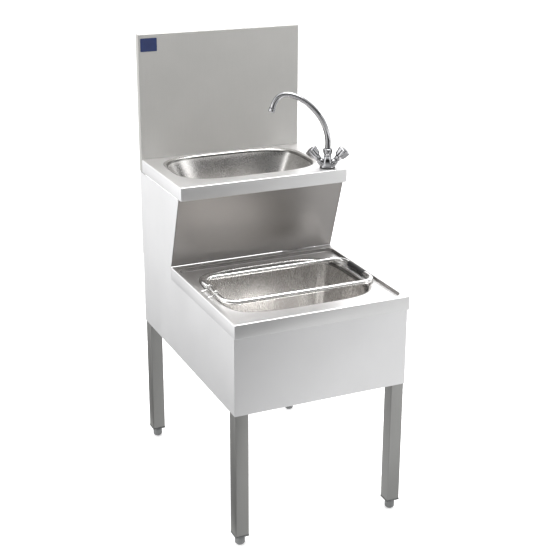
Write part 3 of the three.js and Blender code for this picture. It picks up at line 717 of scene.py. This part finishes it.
def plane(name, centre, width, height):
    """A level sheet that belongs to the studio, with its own material."""
    mesh = bpy.data.meshes.new(name)
    w, h = width / 2, height / 2
    mesh.from_pydata([(-w, -h, 0), (w, -h, 0), (w, h, 0), (-w, h, 0)], [], [(0, 1, 2, 3)])
    mat, tree, bsdf = nodes_of(name)
    bsdf.inputs["Roughness"].default_value = 0.9
    bsdf.inputs["Emission Color"].default_value = (1, 1, 1, 1)
    mesh.materials.append(mat)
    obj = bpy.data.objects.new(name, mesh)
    obj.location = centre
    bpy.context.scene.collection.objects.link(obj)
    return obj, tree, bsdf


def glow(name, centre, width, height, weights, source, low, high):
    """A glow on the floor that only reflections see. It grows along weights in the floor plane."""
    obj, tree, bsdf = plane(name, centre, width, height)
    obj.visible_camera = obj.visible_diffuse = obj.visible_shadow = False
    at = tree.nodes.new("ShaderNodeNewGeometry")
    along = tree.nodes.new("ShaderNodeVectorMath")
    along.operation = "DOT_PRODUCT"
    along.inputs[1].default_value = (*weights, 0)
    tree.links.new(at.outputs["Position"], along.inputs[0])
    bsdf.inputs["Base Color"].default_value = (0, 0, 0, 1)
    bsdf.inputs["Specular IOR Level"].default_value = 0
    strength = spread(tree, along.outputs["Value"], low, high, source, True)
    tree.links.new(strength, bsdf.inputs["Emission Strength"])


def area(name, centre, look, width, height, power):
    light = bpy.data.lights.new(name, "AREA")
    light.shape = "RECTANGLE"
    light.size, light.size_y = width, height
    light.energy = power
    obj = bpy.data.objects.new(name, light)
    obj.location = centre
    obj.rotation_euler = (Vector(look) - Vector(centre)).to_track_quat("-Z", "Y").to_euler()
    bpy.context.scene.collection.objects.link(obj)


floor_obj, floor_tree, floor_bsdf = plane("floor", (0, 0, 0), 120, 120)
floor_shade = tint(floor_tree, noise(floor_tree, 2.0, 2.0), (0.93, 0.93, 0.93), (0.95, 0.95, 0.95))
floor_tree.links.new(floor_shade, floor_bsdf.inputs["Base Color"])
floor_bsdf.inputs["Emission Strength"].default_value = FLOOR_GLOW

# A studio that is bright overhead, at the back and along the horizon, and dark in front of the sink
world = bpy.data.worlds.new("studio")
world.use_nodes = True
sky = world.node_tree
axes = sky.nodes.new("ShaderNodeSeparateXYZ")
sky.links.new(sky.nodes.new("ShaderNodeTexCoord").outputs["Generated"], axes.inputs[0])
room = spread(sky, axes.outputs["Y"], ROOM_FRONT, ROOM_BACK, (-0.32, 0.05))
ceiling = spread(sky, axes.outputs["Z"], 0.0, CEILING, (0.35, 0.9))
horizon = spread(sky, axes.outputs["Z"], HORIZON, 0.0, (0.06, 0.16), True)
sky.links.new(add(sky, add(sky, room, ceiling), horizon), sky.nodes["Background"].inputs["Strength"])
sky.nodes["Background"].inputs["Color"].default_value = (1, 1, 1, 1)
bpy.context.scene.world = world

area("overhead", (0.3, 0.1, 3.0), (0, 0, 0.6), 1.6, 1.6, 60)
area("key_right", (2.6, -2.2, 1.5), (0, 0, 0.5), 1.2, 2.2, 18)
area("fill_left", (-3.2, 1.2, 1.5), (0, 0, 0.7), 1.8, 2.4, 18)

glow("grey_front", (0, -3.6, 0.002), 8.0, 6.0, (1.0, 0.8), (-1.2, -0.5), 0.12, 1.2)
glow("grey_left", (-2.3, 1.4, 0.003), 4.0, 8.0, (-1.0, 0.0), (0.2, 1.7), 0.2, 1.4)
glow("grey_around", (0, 0, 0.001), 24.0, 24.0, (1.0, 0.0), (-12.0, 12.0), 0.8, 0.85)

scene = bpy.context.scene
scene.view_settings.view_transform = "Standard"
scene.view_settings.look = "None"


# ---------------------------------------------------------------- camera
YAW, PITCH, ROLL = math.radians(-24.304), math.radians(18.776), math.radians(0.202)
DISTANCE, AIM_RIGHT, AIM_UP = 3.36643, 0.02056, 0.0992     # metres, from a point 0.6 m up the centre line
LENS, SHIFT = 78.142909, -0.0545455      # focal length in mm on a 36 mm sensor, and the lens's shift down
back = Vector((math.sin(YAW) * math.cos(PITCH), -math.cos(YAW) * math.cos(PITCH), math.sin(PITCH)))
right = Vector((math.cos(YAW), math.sin(YAW), 0))
up = back.cross(right)
right, up = right * math.cos(ROLL) + up * math.sin(ROLL), up * math.cos(ROLL) - right * math.sin(ROLL)
camera = bpy.data.cameras.new("camera")
camera.sensor_width = 36.0
camera.lens = LENS
camera.shift_y = SHIFT
camera.clip_end = 200
eye = bpy.data.objects.new("camera", camera)
spot = Vector((CX, 0, 0.6)) + back * DISTANCE + right * AIM_RIGHT + up * AIM_UP
eye.matrix_world = Matrix.Translation(spot) @ Matrix((right, up, back)).transposed().to_4x4()
scene.collection.objects.link(eye)
scene.camera = eye
